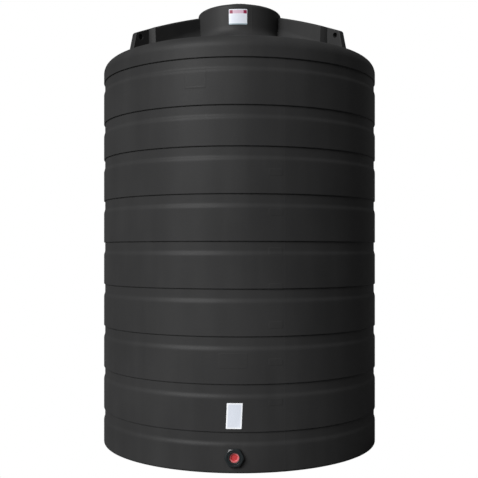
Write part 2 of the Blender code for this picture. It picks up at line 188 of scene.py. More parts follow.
polyethylene = Finish(
    "polyethylene", {"Specular IOR Level": 0.10, "Coat Weight": 0.012, "Coat Roughness": 0.20}
)
clouds = polyethylene.noise(1.3, detail=3.0)
runs = polyethylene.noise(5.0, detail=3.0, stretch=(1, 1, 0.12))
patches = polyethylene.noise(14.0, detail=2.0)
shade = polyethylene.step(clouds * 0.55 + runs * 0.45, 0.35, 0.65)
polyethylene.set("Base Color", polyethylene.mix(shade, POLYETHYLENE_DARK, POLYETHYLENE_LIGHT))
polyethylene.set("Roughness", POLYETHYLENE_ROUGHNESS + 0.08 * runs + 0.04 * patches)
peel = polyethylene.bump(polyethylene.noise(38.0, detail=1.0), 0.0012, 0.35)
grain = polyethylene.bump(polyethylene.noise(620.0, detail=2.0), 0.00035, 0.5, under=peel)
polyethylene.set("Normal", grain)
print("nodes in the polyethylene:", len(polyethylene.tree.nodes))

# %% [markdown]
# The lid is pressed from a harder plastic and looks a little smoother than the shell. The outlet fitting
# has a dull gloss, and its plug is a soft red cap that lets some light into it. The plug's rim is painted
# paler than its deep red middle: painted light, standing in for light shining through the rim. The gasket
# is plain matt rubber.

# %% Lid, fitting, gasket and plug
OUTLET_HEIGHT = 0.134
LID_DARK = (0.020, 0.020, 0.021, 1)
LID_LIGHT = (0.029, 0.029, 0.030, 1)
FITTING_DARK = (0.008, 0.010, 0.011, 1)
FITTING_LIGHT = (0.016, 0.021, 0.023, 1)
GASKET_DARK = (0.012, 0.012, 0.012, 1)
GASKET_LIGHT = (0.024, 0.024, 0.024, 1)
PLUG_LIT_RIM_COLOUR = (0.62, 0.17, 0.18, 1)
PLUG_DEEP = (0.46, 0.030, 0.035, 1)
PLUG_RIM_LIGHT_FROM = 0.022
PLUG_RIM_LIGHT_TO = 0.036

lid_plastic = Finish("lid_plastic", {"Specular IOR Level": 0.5})
lid_plastic.set("Base Color", lid_plastic.mix(lid_plastic.noise(6.0), LID_DARK, LID_LIGHT))
lid_plastic.set("Roughness", 0.36 + 0.10 * lid_plastic.noise(9.0))
lid_plastic.set("Normal", lid_plastic.bump(lid_plastic.noise(480.0), 0.0003, 0.4))

fitting_plastic = Finish("fitting_plastic", {"Specular IOR Level": 0.35, "Coat Roughness": 0.22})
marbling = fitting_plastic.noise(30.0, detail=3.0)
fitting_plastic.set("Base Color", fitting_plastic.mix(marbling, FITTING_DARK, FITTING_LIGHT))
fitting_plastic.set("Roughness", 0.28 + 0.14 * fitting_plastic.noise(55.0))
fitting_plastic.set("Coat Weight", 0.10 + 0.14 * marbling)
fitting_plastic.set("Normal", fitting_plastic.bump(fitting_plastic.noise(160.0), 0.0002, 0.4))

gasket_rubber = Finish("gasket_rubber", {"Specular IOR Level": 0.3})
gasket_rubber.set("Base Color", gasket_rubber.mix(gasket_rubber.noise(80.0), GASKET_DARK, GASKET_LIGHT))
gasket_rubber.set("Roughness", 0.78 + 0.12 * gasket_rubber.noise(120.0))
gasket_rubber.set("Normal", gasket_rubber.bump(gasket_rubber.noise(900.0), 0.0003, 0.5))

plug_plastic = Finish("plug_plastic", {"Subsurface Weight": 0.25, "Subsurface Scale": 0.01})
centred = {"Vector": plug_plastic.place(), "Location": (0, 0, -OUTLET_HEIGHT), "Scale": (1, 0, 1)}
from_axis = plug_plastic.node("ShaderNodeMapping", {}, centred)
distance = plug_plastic.node("ShaderNodeVectorMath", {"operation": "LENGTH"}, {0: from_axis}, "Value")
# The paler rim is painted light: this colour stands in for light shining through the plug's rim.
rim_light_mask = plug_plastic.step(distance, PLUG_RIM_LIGHT_FROM, PLUG_RIM_LIGHT_TO)
painted_rim_light = rim_light_mask * 0.9 + 0.1 * plug_plastic.noise(60.0)
plug_plastic.set("Base Color", plug_plastic.mix(painted_rim_light, PLUG_DEEP, PLUG_LIT_RIM_COLOUR))
plug_plastic.set("Roughness", 0.36 + 0.14 * plug_plastic.noise(90.0))
plug_plastic.set("Normal", plug_plastic.bump(plug_plastic.noise(300.0), 0.0003, 0.4))
small_finishes = (lid_plastic, fitting_plastic, gasket_rubber, plug_plastic)
print("small finishes:", [finish.material.name for finish in small_finishes])

# %% [markdown]
# Two things are stuck on the tank: a film label on the turret and a sheet of paper on the wall. Both are
# left without words. The label keeps a pale header band with a plain red spot at each end, a greyer field
# and a thin line at its lower edge, and the sheet keeps a greyer page with faint rules. The patterns
# follow each piece's own UV map, from 0 to 1 both ways, and each named pair says from where to where.

# %% Film and paper
FILM_WHITE = (0.70, 0.74, 0.80, 1)
FILM_HEADER = (0.60, 0.42, 0.52, 1)
FILM_SPOT = (0.24, 0.008, 0.05, 1)
FILM_LINE = (0.30, 0.38, 0.42, 1)
FILM_PRINT = (0.62, 0.64, 0.74, 1)
PAPER_WHITE = (0.84, 0.86, 0.89, 1)
PAPER_FIELD = (0.66, 0.70, 0.78, 1)
PAPER_RULE = (0.50, 0.52, 0.56, 1)
FILM_INSIDE = (0.03, 0.97)
HEADER_UP = (0.72, 0.94)
SPOTS_ACROSS = ((0.03, 0.21), (0.79, 0.97))
FIELD_ACROSS = (0.14, 0.84)
FIELD_UP = (0.16, 0.66)
LINE_FADE = (0.06, 0.11)
PAGE_ACROSS = (0.09, 0.91)
PAGE_UP = (0.05, 0.95)
RULE_PHASE = 165.0


def band(finish, value, low, high, edge):
    """1 between low and high, softly 0 outside them."""
    return finish.step(value, low - edge, low + edge) * (1 - finish.step(value, high - edge, high + edge))


film = Finish("film", {"Specular IOR Level": 0.4})
film_across, film_up = film.across_and_up()
inside = band(film, film_across, *FILM_INSIDE, 0.008)
header = band(film, film_up, *HEADER_UP, 0.03) * inside
left_spot, right_spot = [band(film, film_across, *place, 0.03) for place in SPOTS_ACROSS]
spots = (left_spot + right_spot) * header
field = band(film, film_across, *FIELD_ACROSS, 0.02) * band(film, film_up, *FIELD_UP, 0.02)
line = 1 - film.step(film_up, *LINE_FADE)
printed = film.mix(0.8 * field, FILM_WHITE, film.mix(film.noise(40.0), FILM_WHITE, FILM_PRINT))
printed = film.mix(spots, film.mix(header, printed, FILM_HEADER), FILM_SPOT)
film.set("Base Color", film.mix(line, printed, FILM_LINE))
film.set("Roughness", 0.34 + 0.08 * film.noise(25.0))
film.set("Normal", film.bump(film.noise(45.0), 0.0008, 0.3))

paper = Finish("paper", {"Specular IOR Level": 0.4})
paper_across, paper_up = paper.across_and_up()
wave = paper.node("ShaderNodeMath", {"operation": "SINE"}, {0: paper_up * RULE_PHASE})
page = band(paper, paper_across, *PAGE_ACROSS, 0.03) * band(paper, paper_up, *PAGE_UP, 0.02)
rules = paper.step(wave, 0.2, 0.6) * page
paper.set("Base Color", paper.mix(0.35 * rules, paper.mix(page, PAPER_WHITE, PAPER_FIELD), PAPER_RULE))
paper.set("Roughness", 0.48 + 0.10 * paper.noise(30.0))
paper.set("Normal", paper.bump(paper.noise(22.0), 0.0015, 0.4))
print("label and sheet finishes are ready")

# %% [markdown]
# Every new surface is a grid of points worked out with numpy. A path through a few corners gives the
# shape of a section, with each corner rounded, and the section then goes round an axis or along a beam.
# The helpers round corners, add points where a surface needs them, and turn a grid into faces and into
# a piece that stands for its CAD nodes.

# %% Helpers for shapes
SHARP_ANGLE = math.radians(38)
MERGE_DISTANCE = 0.000002
LEAST_STEP = 0.0004
CURVE_STEPS = 7


def softened(corners, cuts, steps=CURVE_STEPS):
    """A path whose inner corners are rounded.

    A corner C with a cut of c becomes the curve from A to B, which lie c before and after C on its two
    legs: (1 - t)^2 A + 2 t (1 - t) C + t^2 B. The n-th curve ends at point n * steps of the path. It
    works on many paths at once.
    """
    corners = np.asarray(corners, float)
    cut = np.asarray(cuts, float)[:, None]
    middle = corners[..., 1:-1, :]
    before = corners[..., :-2, :] - middle
    after = corners[..., 2:, :] - middle
    start = middle + before * cut / np.linalg.norm(before, axis=-1, keepdims=True)
    end = middle + after * cut / np.linalg.norm(after, axis=-1, keepdims=True)
    t = np.linspace(0, 1, steps)[:, None]
    start, middle, end = (point[..., None, :] for point in (start, middle, end))
    curve = (1 - t) ** 2 * start + 2 * t * (1 - t) * middle + t**2 * end
    curve = curve.reshape(*corners.shape[:-2], -1, corners.shape[-1])
    return np.concatenate([corners[..., :1, :], curve, corners[..., -1:, :]], axis=-2)


def run_along(path):
    """How far each point of a path is from its start, measured along it."""
    return np.r_[0, np.cumsum(np.linalg.norm(np.diff(path, axis=0), axis=1))]


def points_at(path, run, places):
    """The points of a path at given distances from its start."""
    return np.column_stack([np.interp(places, run, column) for column in path.T])


def refined(path, spacing, marks=()):
    """The same path with points at most spacing apart, and one at each marked height."""
    run = run_along(path)
    marked = np.interp(np.asarray(marks, float), path[:, 1], run)
    places = np.unique(np.concatenate([run, np.arange(0, run[-1], spacing), marked]))
    places = places[np.r_[True, np.diff(places) > LEAST_STEP]]
    return points_at(path, run, places)


def loop_points(path, spacing):
    """Points at most spacing apart on a path that ends where it starts, without the last one."""
    run = run_along(path)
    return points_at(path, run, np.unique(np.concatenate([run, np.arange(0, run[-1], spacing)]))[:-1])


def divided(sections, index, count):
    """Sections with evenly spaced points added between the point at an index and the next one."""
    t = np.linspace(0, 1, count)[1:-1, None]
    here = sections[:, index : index + 1]
    following = sections[:, index + 1 : index + 2]
    between = here * (1 - t) + following * t
    return np.concatenate([sections[:, : index + 1], between, sections[:, index + 1 :]], axis=1)


def arc(centre, radius, start, end, steps):
    """Points at centre + radius (cos a, sin a), with a running from start to end in degrees."""
    angle = np.radians(np.linspace(start, end, steps))
    return np.column_stack([centre[0] + radius * np.cos(angle), centre[1] + radius * np.sin(angle)])


def grid_faces(rows, columns, closed_rows=True, closed_columns=True):
    """Four-sided faces between neighbours in a grid; a closed direction joins its ends."""
    row, column = np.meshgrid(
        np.arange(rows if closed_rows else rows - 1),
        np.arange(columns if closed_columns else columns - 1),
        indexing="ij",
    )
    next_row = (row + 1) % rows
    next_column = (column + 1) % columns
    corners = [
        row * columns + column,
        row * columns + next_column,
        next_row * columns + next_column,
        next_row * columns + column,
    ]
    return np.stack(corners, axis=-1).reshape(-1, 4)


def tidy_mesh(mesh):
    """Merge doubled points and turn every face outwards."""
    bm = bmesh.new()
    bm.from_mesh(mesh)
    bmesh.ops.remove_doubles(bm, verts=bm.verts, dist=MERGE_DISTANCE)
    if bm.calc_volume(signed=True) < 0:
        bmesh.ops.reverse_faces(bm, faces=bm.faces)
    bm.to_mesh(mesh)
    bm.free()


def spread(outline, turns):
    """The two measures of an outline's points, repeated for every turn round an axis."""
    return outline[:, :1] + 0 * turns, outline[:, 1:] + 0 * turns


def make_piece(nodes, points, finish, closed_rows=True, closed_columns=True, uv=None):
    """A smooth piece from a grid of points. It stands for CAD nodes, and the first one names it."""
    name = nodes[0] + "_surface"
    faces = grid_faces(*points.shape[:2], closed_rows, closed_columns)
    mesh = bpy.data.meshes.new(name)
    mesh.from_pydata(np.reshape(points, (-1, 3)).tolist(), [], faces.tolist())
    if uv is not None:
        layer = mesh.uv_layers.new(name="UVMap")
        layer.data.foreach_set("uv", np.reshape(uv, (-1, 2))[faces.ravel()].ravel())
    if closed_columns:
        tidy_mesh(mesh)
    mesh.shade_smooth()
    mesh.set_sharp_from_angle(angle=SHARP_ANGLE)
    mesh.materials.append(finish.material)
    piece = bpy.data.objects.new(name, mesh)
    bpy.context.scene.collection.objects.link(piece)
    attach(piece, "root")
    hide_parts(*nodes)
    return piece


def face_counts(pieces):
    """How many faces each piece has."""
    return [len(piece.data.polygons) for piece in pieces]


print("helpers for shapes are ready")

# %% [markdown]
# The wall is ten bands on top of each other. Each band ends below in a square edge that overhangs a
# groove, and the groove's other side is a ramp, which catches the light along its rounded upper edge.
# The outline of a band is therefore a path of six corners, and the band is that path turned round the
# tank's axis.

# %% Sizes of the shell
TANK_RADIUS = 1.295
SHELL = 0.010
GAP = 0.0003
LOWEST_GROOVE = 0.336
BAND_PITCH = 0.3872
SHORT_BAND_PITCH = 0.335
GROOVE_DEPTH = 0.0105
GROOVE_FLOOR = 0.082
GROOVE_RAMP = 0.026
GROOVE_RADIUS = TANK_RADIUS - GROOVE_DEPTH
SEAM_DROP = 0.006
FLOOR_RADIUS = 1.262
BASE_CORNER_CUT = 0.022
BASE_BEND_HEIGHT = 0.045
BASE_LIP_HEIGHT = 0.012
BASE_SPACING = 0.012
FRONT_FLAT = TANK_RADIUS * math.cos(math.pi / 48)
ROW_SPACING = 0.022

grooves = LOWEST_GROOVE + BAND_PITCH * np.arange(7)
grooves = np.append(grooves, grooves[-1] + SHORT_BAND_PITCH)
grooves = np.append(grooves, grooves[-1] + BAND_PITCH)
print("lower edges of the bands:", grooves.round(4))

# %% [markdown]
# The mould leaves marks on the wall: a thin raised line where its two halves met, level pads beside the
# line, a plate low on the front and a shallow frame high on it. All of them stay blank. Each mark is a
# height that depends on the way round and on the height above the ground, and the grid gets extra lines
# only where a mark has its edges.

# %% Marks left by the mould
PARTING_LINES = (18.7, 198.7)
PARTING_HALF_WIDTH = 0.0035
PARTING_RISE = 0.0007
MARK_EDGE = 0.005
MARK_CORNER = 0.012
PAD_AZIMUTH = 15.1
PAD_HEIGHTS = (2.448, 2.123, 1.806, 1.513, 1.203, 0.902, 0.577)
PAD_SIZE = (0.125, 0.062)
PAD_RISE = 0.0009
PLATE = (-0.5, 0.915, 0.24, 0.13, 0.0007)
FRAME = (-14.4, 3.21, 0.19, 0.16, 0.0005)
FRAME_BORDER = 0.014
COLUMNS = 240
LEAST_TURN = 0.02
EDGE_SHARES = np.array([-0.2, 0, 0.33, 0.67, 1, 2.4])
RIDGE_SHARES = np.array([-2.2, -1.3, -0.7, 0, 0.7, 1.3, 2.2])
FLAT_COLUMNS = np.linspace(-6, 6, 33)
FLAT_HALF_HEIGHT = 0.084
FLAT_FADE = 0.030

# Each mark is its azimuth, its height above the ground, its width, how tall it is and how far it rises.
marks = [(PAD_AZIMUTH, height, *PAD_SIZE, PAD_RISE) for height in PAD_HEIGHTS]
marks += [PLATE, FRAME]
marks.append((FRAME[0], FRAME[1], FRAME[2] - 2 * FRAME_BORDER, FRAME[3] - 2 * FRAME_BORDER, -FRAME[4]))


def mark_rise(azimuth, height, mark):
    """A pad with rounded corners: full height inside, falling softly to nothing across its edge."""
    centre_azimuth, centre_height, width, tall, rise = mark
    across = np.abs(np.radians(azimuth - centre_azimuth) * TANK_RADIUS) - width / 2 + MARK_CORNER
    up = np.abs(height - centre_height) - tall / 2 + MARK_CORNER
    outside = np.hypot(np.maximum(across, 0), np.maximum(up, 0))
    depth = MARK_CORNER - outside - np.minimum(np.maximum(across, up), 0)
    fade = np.clip(depth / MARK_EDGE, 0, 1)
    return rise * fade**2 * (3 - 2 * fade)


def parting_rise(azimuth, radius):
    """A bell-shaped ridge on each parting line, as wide at every distance from the axis."""
    turn = np.stack([(azimuth - line + 180) % 360 - 180 for line in PARTING_LINES])
    away = np.min(np.abs(turn), axis=0) * np.pi / 180 * radius
    return PARTING_RISE * np.exp(-((away / PARTING_HALF_WIDTH) ** 2) * 2)


def edge_lines(centre, half, edge):
    """Grid lines across both edges of a mark."""
    inward = half - edge * EDGE_SHARES
    return np.concatenate([centre - inward, centre + inward])


def azimuth_lines(marks_here, flat):
    """Azimuths of a ring's columns: even ones, and extra ones at marks and parting lines."""
    degrees = np.degrees(1 / TANK_RADIUS)
    ridge = PARTING_HALF_WIDTH * RIDGE_SHARES * degrees
    lines = [np.linspace(-180, 180, COLUMNS, endpoint=False)]
    lines += [line + ridge for line in PARTING_LINES]
    lines += [edge_lines(mark[0], mark[2] / 2 * degrees, MARK_EDGE * degrees) for mark in marks_here]
    if flat:
        lines.append(FLAT_COLUMNS)
    every = np.unique(np.round((np.concatenate(lines) + 180) % 360 - 180, 3))
    return every[np.r_[True, np.diff(every) > LEAST_TURN]]


print("marks on the wall:", len(marks))

# %% Turn an outline into a ring
def outward(path):
    """The direction away from the wall at each point of an outline that runs upwards."""
    along = np.gradient(path, axis=0)
    normal = np.column_stack([along[:, 1], -along[:, 0]])
    return normal / np.linalg.norm(normal, axis=1, keepdims=True)


def round_axis(radius, height, azimuth):
    """Points at a radius and height, at azimuths in degrees from -Y towards +X."""
    angle = np.radians(azimuth)
    height = height + 0 * angle
    return np.stack([radius * np.sin(angle), -radius * np.cos(angle), height], axis=-1)


def shell_ring(name, outer, inner, marks_here=(), flat=False, nodes=()):
    """A closed ring: the outer outline carries the marks, and the inner one leads back to its start."""
    azimuth = azimuth_lines(marks_here, flat)[None, :]
    radius, height = spread(outer, azimuth)
    rise = parting_rise(azimuth + 0 * radius, radius)
    for mark in marks_here:
        rise = rise + mark_rise(azimuth, height, mark)
    if flat:
        rise = rise + flat_spot(azimuth, height)
    normal = outward(outer)
    radius = radius + rise * normal[:, :1]
    height = height + rise * normal[:, 1:]
    inner_radius, inner_height = spread(inner, azimuth)
    points = round_axis(np.vstack([radius, inner_radius]), np.vstack([height, inner_height]), azimuth)
    return make_piece([name, *nodes], points, polyethylene)


def flat_spot(azimuth, height):
    """The wall pressed flat behind the outlet's nut: it falls back to the plane y = -FRONT_FLAT."""
    plane = FRONT_FLAT / np.cos(np.radians(np.clip(azimuth, -20, 20))) - TANK_RADIUS
    reach = np.clip((np.abs(height - OUTLET_HEIGHT) - FLAT_HALF_HEIGHT) / FLAT_FADE, 0, 1)
    return np.minimum(plane, 0) * (1 - reach**2 * (3 - 2 * reach))


def marks_between(low, high):
    """The marks whose centre lies between two heights."""
    return [mark for mark in marks if low < mark[1] < high]


def mark_heights(marks_here):
    """Heights where a ring needs grid lines for the edges of its marks."""
    lines = [edge_lines(mark[1], mark[3] / 2, MARK_EDGE) for mark in marks_here]
    return np.concatenate(lines) if lines else ()


print("the front is flat behind the nut at y =", round(-FRONT_FLAT, 4))

# %% Wall bands
UNDERSIDE_CUTS = (0.003, 0.005)
RAMP_CUTS = (0.014, 0.012)


def groove_top(top):
    """The last three corners of a band's outer outline, and its inner ones back down to the wall."""
    ramp_foot = top - GROOVE_FLOOR - GROOVE_RAMP
    end = top - SEAM_DROP - GAP
    outer = [(TANK_RADIUS, ramp_foot), (GROOVE_RADIUS, ramp_foot + GROOVE_RAMP), (GROOVE_RADIUS, end)]
    inner = [
        (GROOVE_RADIUS - SHELL, end),
        (GROOVE_RADIUS - SHELL, ramp_foot + SHELL),
        (TANK_RADIUS - SHELL, ramp_foot),
    ]
    return outer, inner


def band_foot(bottom):
    """The first three corners of a band's outer outline, and the last three of its inner one."""
    outer = [(GROOVE_RADIUS, bottom - SEAM_DROP), (GROOVE_RADIUS, bottom), (TANK_RADIUS, bottom)]
    inner = [
        (TANK_RADIUS - SHELL, bottom + SHELL),
        (GROOVE_RADIUS - SHELL, bottom + SHELL),
        (GROOVE_RADIUS - SHELL, bottom - SEAM_DROP),
    ]
    return outer, inner


def wall_band(number, bottom, top):
    """One band of the wall between two grooves."""
    foot_outer, foot_inner = band_foot(bottom)
    top_outer, top_inner = groove_top(top)
    here = marks_between(bottom, top)
    outer = softened(foot_outer + top_outer, UNDERSIDE_CUTS + RAMP_CUTS)
    outer = refined(outer, ROW_SPACING, mark_heights(here))
    return shell_ring(f"wall_band_{number}", outer, np.array(top_inner + foot_inner), here)


def lowest_band(top):
    """The lowest band, which rounds in under the tank and carries the outlet."""
    top_outer, top_inner = groove_top(top)
    corners = [(FLOOR_RADIUS + GAP, 0), (TANK_RADIUS, 0)] + top_outer
    outer = refined(softened(corners, (BASE_CORNER_CUT, *RAMP_CUTS), steps=9), BASE_SPACING)
    inner = top_inner + [(TANK_RADIUS - SHELL, BASE_BEND_HEIGHT), (FLOOR_RADIUS + GAP, BASE_LIP_HEIGHT)]
    return shell_ring("wall_band_1", outer, np.array(inner), flat=True, nodes=["wall_band_1_front"])


bands = [lowest_band(grooves[0])]
for number, (low, high) in enumerate(zip(grooves, grooves[1:]), start=2):
    bands.append(wall_band(number, low, high))
print("faces in the bands:", face_counts(bands))

# %% [markdown]
# The top band rounds over into a coned roof. The round shoulder is an arc, and a short piece of the cone
# belongs to the same surface, so that the joint with the roof falls where both are straight.

# %% Cap band and roof
SHOULDER_START = 0.084
SHOULDER_RADIUS = 0.115
ROOF_SLOPE = 15
ROOF_RISE = math.tan(math.radians(ROOF_SLOPE))
SHOULDER_CENTRE = (TANK_RADIUS - SHOULDER_RADIUS, grooves[-1] + SHOULDER_START)
ROOF_EDGE_RADIUS = SHOULDER_CENTRE[0] + SHOULDER_RADIUS * math.sin(math.radians(ROOF_SLOPE))
ROOF_EDGE_HEIGHT = SHOULDER_CENTRE[1] + SHOULDER_RADIUS * math.cos(math.radians(ROOF_SLOPE))
ROOF_JOINT = ROOF_EDGE_RADIUS - 0.020
NECK_FOOT_RADIUS = 0.480


def roof_height(radius):
    """Height of the roof's outer face, which falls at an even slope away from the axis."""
    return ROOF_EDGE_HEIGHT + (ROOF_EDGE_RADIUS - radius) * ROOF_RISE


def cap_band():
    """The top band, its shoulder and the outermost strip of the roof."""
    bottom = grooves[-1]
    foot_outer, foot_inner = band_foot(bottom)
    lower = softened(foot_outer + [(TANK_RADIUS, SHOULDER_CENTRE[1])], UNDERSIDE_CUTS)
    shoulder = arc(SHOULDER_CENTRE, SHOULDER_RADIUS, 0, 90 - ROOF_SLOPE, 22)
    strip = [(ROOF_JOINT, roof_height(ROOF_JOINT))]
    outer = refined(np.vstack([lower[:-1], shoulder, strip]), ROW_SPACING)
    back = arc(SHOULDER_CENTRE, SHOULDER_RADIUS - SHELL, 90 - ROOF_SLOPE, 0, 8)
    start = [(ROOF_JOINT, roof_height(ROOF_JOINT) - SHELL)]
    return shell_ring("cap_band", outer, np.vstack([start, back, foot_inner]))


def roof_cone():
    """The coned roof from the shoulder up to the turret."""
    radii = np.linspace(ROOF_JOINT - GAP, NECK_FOOT_RADIUS, 34)
    outer = np.column_stack([radii, roof_height(radii)])
    inner = outer[::-11] - (0, SHELL)
    return shell_ring("roof_cone", outer, inner)


roof_pieces = [cap_band(), roof_cone()]
print("roof faces:", face_counts(roof_pieces))

# %% [markdown]
# The turret stands on the roof with a flared foot, and its top edge is a wide quarter of an ellipse,
# which gives the smooth dome of the silhouette.

# %% Turret
NECK_RADIUS = 0.397
NECK_FLARE_CUT = 0.088
NECK_OVERLAP = 0.010
NECK_SINK = 0.0005
NECK_SPACING = 0.016
CROWN_TOP = 4.110
CROWN_DROP = 0.055
CROWN_REACH = 0.180
CROWN_JOINT = CROWN_TOP - CROWN_DROP - 0.012
MANHOLE_RADIUS = 0.200


def manway_neck():
    """The turret's side, from the flared foot up to the crown."""
    foot = roof_height(NECK_FOOT_RADIUS)
    start = NECK_FOOT_RADIUS + NECK_OVERLAP
    corners = [
        (start, roof_height(start) - NECK_SINK),
        (NECK_RADIUS, roof_height(NECK_RADIUS)),
        (NECK_RADIUS, CROWN_JOINT - GAP),
    ]
    outer = refined(softened(corners, (NECK_FLARE_CUT,), steps=15), NECK_SPACING)
    inner = [
        (NECK_RADIUS - SHELL, CROWN_JOINT - GAP),
        (NECK_RADIUS - SHELL, foot + 0.02),
        (start - 0.004, foot - SHELL),
    ]
    return shell_ring("manway_neck", outer, np.array(inner))


def crown_curve(inset, stride):
    """A quarter ellipse: radius and height follow cos a and sin a, with both half axes inset."""
    angle = np.radians(np.linspace(0, 90, 44))[::stride]
    radius = NECK_RADIUS - CROWN_REACH + (CROWN_REACH - inset) * np.cos(angle)
    height = CROWN_TOP - CROWN_DROP + (CROWN_DROP - inset) * np.sin(angle)
    return np.column_stack([radius, height])


def manway_crown():
    """The rounded top of the turret, up to the mouth of the manhole and back below."""
    outer = np.vstack([(NECK_RADIUS, CROWN_JOINT), crown_curve(0, 1), (MANHOLE_RADIUS, CROWN_TOP)])
    under_mouth = (MANHOLE_RADIUS, CROWN_TOP - SHELL)
    under_joint = (NECK_RADIUS - SHELL, CROWN_JOINT)
    inner = np.vstack([under_mouth, crown_curve(SHELL, -4), under_joint])
    return shell_ring("manway_crown", outer, inner)


turret_pieces = [manway_neck(), manway_crown()]
print("turret faces:", face_counts(turret_pieces))

# %% [markdown]
# The lid screws onto a collar on the crown. The picture hides it, so it gets the usual form of such a
# lid: a skirt with finger grips all round, a flat top with a raised ring and six low spokes, and a
# mushroom vent in the middle.

# %% Lid and vent
LID_RADIUS = 0.216
LID_GRIPS = 36
GRIP_DEPTH = 0.0035
GRIP_REACH = 0.012
GRIP_FADE = 0.010
GRIP_STEEPNESS = 1.2
COLLAR_TOP = 4.128
LID_RIM_TOP = 4.137
LID_CENTRE_TOP = 4.144
SPOKES = 6
SPOKE_RISE = 0.0045
SPOKE_HALF = 0.011
SPOKE_EDGE = 0.005
SPOKE_START = 0.062
SPOKE_END = 0.172
SPOKE_FADE = 0.012
SKIRT_SEAM = 4.119
VENT_TOP = 4.180
LID_COLUMNS = LID_GRIPS * 10
LID_SPACING = 0.006
VENT_COLUMNS = 64


def grip(azimuth):
    """How deep the finger grips cut into the edge of the lid: rounded valleys between flat lands."""
    wave = np.cos(np.radians(azimuth) * LID_GRIPS)
    return GRIP_DEPTH * np.clip(0.5 + GRIP_STEEPNESS * wave, 0, 1)


def turned_piece(name, outline, columns, finish, change=None):
    """An outline turned round the tank's axis, with an optional change of radius and height."""
    azimuth = np.linspace(-180, 180, columns, endpoint=False)[None, :]
    radius, height = spread(outline, azimuth)
    if change is not None:
        radius, height = change(azimuth, radius, height)
    return make_piece([name], round_axis(radius, height, azimuth), finish, closed_rows=False)


def grip_edge(azimuth, radius, height):
    """Cut the grips into everything near the lid's edge, and raise the spokes on its top."""
    near_edge = np.clip((radius - LID_RADIUS + GRIP_REACH) / GRIP_FADE, 0, 1)
    turn = np.abs((azimuth * SPOKES / 360 + 0.5) % 1 - 0.5) * 2 * np.pi / SPOKES * radius
    across = np.clip((SPOKE_HALF - turn) / SPOKE_EDGE, 0, 1)
    along = np.clip((radius - SPOKE_START) / SPOKE_FADE, 0, 1)
    along = along * np.clip((SPOKE_END - radius) / SPOKE_FADE, 0, 1)
    on_top = height > COLLAR_TOP + 0.004
    height = height + SPOKE_RISE * across * along * on_top
    return radius - grip(azimuth) * near_edge, height


lid_top = softened(
    [
        (0, COLLAR_TOP + GAP),
        (LID_RADIUS, COLLAR_TOP + GAP),
        (LID_RADIUS, LID_RIM_TOP),
        (LID_RADIUS - 0.028, LID_RIM_TOP + 0.002),
        (LID_RADIUS - 0.032, LID_RIM_TOP - 0.002),
        (0.060, LID_CENTRE_TOP - 0.004),
        (0.054, LID_CENTRE_TOP),
        (0, LID_CENTRE_TOP),
    ],
    (0.0005, 0.006, 0.002, 0.002, 0.002, 0.002),
)
lid_outline = refined(lid_top[::-1], LID_SPACING)[::-1]
lid_piece = turned_piece("manway_lid", lid_outline, LID_COLUMNS, lid_plastic, grip_edge)

skirt_outline = softened(
    [
        (MANHOLE_RADIUS + GAP, SKIRT_SEAM),
        (MANHOLE_RADIUS + GAP, COLLAR_TOP),
        (LID_RADIUS, COLLAR_TOP),
        (LID_RADIUS, CROWN_TOP + GAP),
        (MANHOLE_RADIUS + GAP, CROWN_TOP + GAP),
        (MANHOLE_RADIUS + GAP, SKIRT_SEAM),
    ],
    (0.001, 0.001, 0.003, 0.001),
)
skirt_piece = turned_piece("lid_skirt", skirt_outline, LID_COLUMNS, lid_plastic, grip_edge)

vent_outline = softened(
    [
        (0, LID_CENTRE_TOP + GAP),
        (0.022, LID_CENTRE_TOP + GAP),
        (0.016, LID_CENTRE_TOP + 0.006),
        (0.016, VENT_TOP - 0.020),
        (0.036, VENT_TOP - 0.022),
        (0.036, VENT_TOP - 0.006),
        (0.020, VENT_TOP),
        (0, VENT_TOP),
    ],
    (0.001, 0.003, 0.003, 0.0015, 0.006, 0.006),
)
vent_piece = turned_piece("lid_vent", vent_outline, VENT_COLUMNS, lid_plastic)
print("lid faces:", face_counts([lid_piece, skirt_piece, vent_piece]))

# %% [markdown]
# Four lifting ribs run from the turret's sides down the roof, mirrored to the left and right and to the
# front and back. Each is a thick beam at 45 degrees with rounded upper edges and a wide soft foot, and
# its top line sags outwards. It ends in a narrower lug with an eye for a shackle. The beam is a section
# carried outwards. The lug is made round its eye: one direction of its grid goes round the hole, and the
# other goes from the hole over the side, the edge and back.
#
# Both are worked out in a rib's own measures, along it from the eye outwards and across it, for a rib
# that points to +X and +Y. The other three are mirror images of that one.

# %% Sizes of the ribs
RIB_SIDES = {
    "front_left": (-1, -1),
    "front_right": (1, -1),
    "back_left": (-1, 1),
    "back_right": (1, 1),
}
DIAGONAL = math.sqrt(0.5)
RIB_FULL_END = -0.112
RIB_END = -0.089
RIB_TOP_AT_EYE = 3.796
RIB_TOP_SLOPE = 0.407
RIB_TOP_SAG = 0.080
RIB_HALF_FOOT = 0.102
RIB_HALF_TOP = 0.092
RIB_EDGE_CUT = 0.018
RIB_SINK = 0.012
LUG_HALF = 0.030
LUG_START = -0.104
LUG_END_FOOT = 0.092
LUG_END_TOP = 0.050
LUG_EDGE_CUT = 0.009
LUG_CORNER_CUTS = (0.002, 0.020, 0.002)
LUG_SPACING = 0.006
EYE_X = 0.895
EYE_Y = 0.530
EYE_HEIGHT = 3.742
EYE_RADIUS = 0.024
EYE_RIM_CUT = 0.002
EYE_TAPER = 0.005
FILLET_AT_TURRET = (0.070, 0.150)
FILLET_AT_END = (0.018, 0.040)
FILLET_OF_LUG = (0.012, 0.030)


def rib_top(along):
    """Height of a rib's top line: it falls outwards, a little faster with the square of the way."""
    return RIB_TOP_AT_EYE - RIB_TOP_SLOPE * along - RIB_TOP_SAG * along**2


def rib_place(along, across):
    """A rib's own measures turned into X and Y."""
    return EYE_X + DIAGONAL * (along - across), EYE_Y + DIAGONAL * (along + across)


def roof_under(along, across=0.0):
    """Height of the roof under a point of a rib."""
    return roof_height(np.hypot(*rib_place(along, across)))


